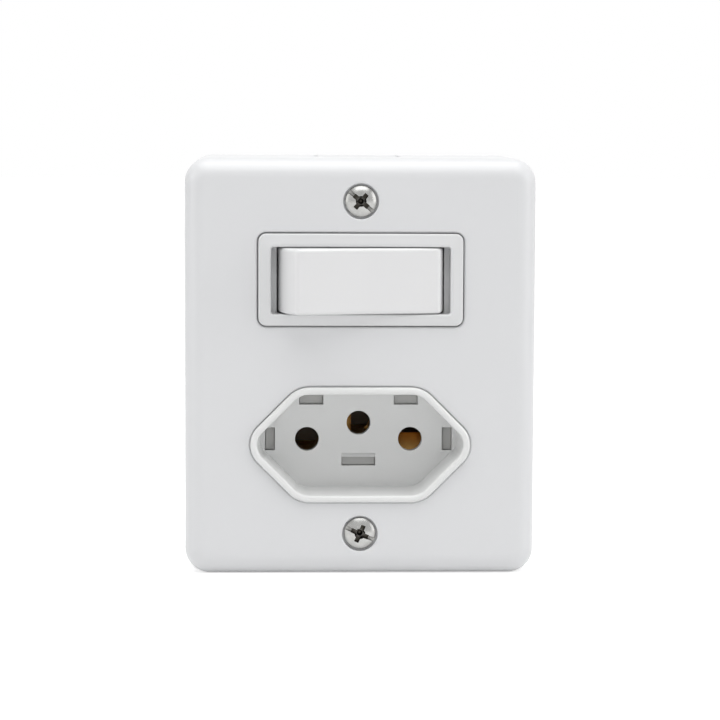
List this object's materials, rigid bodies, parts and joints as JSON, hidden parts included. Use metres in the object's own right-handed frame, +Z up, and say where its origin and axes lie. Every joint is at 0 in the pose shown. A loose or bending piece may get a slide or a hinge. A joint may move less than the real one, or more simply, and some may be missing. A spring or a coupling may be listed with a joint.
{
  "type": "switch and socket combination",
  "caption": "Surface wall box with a horizontal rocker switch above a recessed hexagonal socket with round pin holes; a rounded front cover is held on by domed screws.",
  "frame": {"origin": "centre of the flat back face that lies on the wall", "axes": "+X to the right seen from the front, +Y into the wall, +Z up; the front faces -Y"},
  "size_m": [0.0636, 0.0415, 0.0754],
  "materials": {
    "cover_plastic": "gloss",
    "box_plastic": "satin",
    "rocker_plastic": "gloss",
    "insert_plastic": "gloss",
    "inner_plastic": "matte",
    "plunger_nylon": "matte",
    "plated_steel": "bright plated",
    "brass": "stamped",
    "contact_silver": "satin",
    "spring_steel": "drawn wire"
  },
  "bodies": {
    "housing": {"front_cover": "cover_plastic", "back_box": "box_plastic", "switch_frame": "insert_plastic", "socket_face": "insert_plastic", "switch_back": "inner_plastic", "socket_body": "inner_plastic", "socket_back": "inner_plastic", "cover_screw_upper": "plated_steel", "cover_screw_lower": "plated_steel", "feed_screw": "plated_steel", "load_screw": "plated_steel", "line_screw": "plated_steel", "neutral_screw": "plated_steel", "earth_screw": "plated_steel", "feed_clamp_washer": "plated_steel", "load_clamp_washer": "plated_steel", "threaded_insert_upper": "brass", "threaded_insert_lower": "brass", "feed_terminal": "brass", "load_terminal": "brass", "line_contact": "brass", "neutral_contact": "brass", "earth_contact": "brass", "fixed_contact_tip": "contact_silver"},
    "rocker": {"rocker": "rocker_plastic", "plunger_spring": "spring_steel"},
    "plunger": {"plunger": "plunger_nylon"},
    "seesaw": {"seesaw_contact": "brass", "moving_contact_tip": "contact_silver"}
  },
  "joints": [
    {"name": "rocker_tilt", "type": "hinge", "parent": "housing", "child": "rocker", "pos_m": [0, -0.0318, 0.01575], "axis": [0, 0, -1], "range_deg": [0, 21]},
    {"name": "seesaw_tilt", "type": "hinge", "parent": "housing", "child": "seesaw", "pos_m": [0, -0.02274, 0.01575], "axis": [0, 0, -1], "range_deg": [-11, 0]},
    {"name": "plunger_slide", "type": "slide", "parent": "rocker", "child": "plunger", "axis": [0.1822, -0.9833, 0], "range_m": [0, 0.001], "stiffness_N_per_m": 300, "springref_m": -0.004, "deforming": ["plunger_spring"]}
  ],
  "couplings": [
    {"joint": "seesaw_tilt", "follows": "rocker_tilt", "ratio": -0.5238}
  ]
}
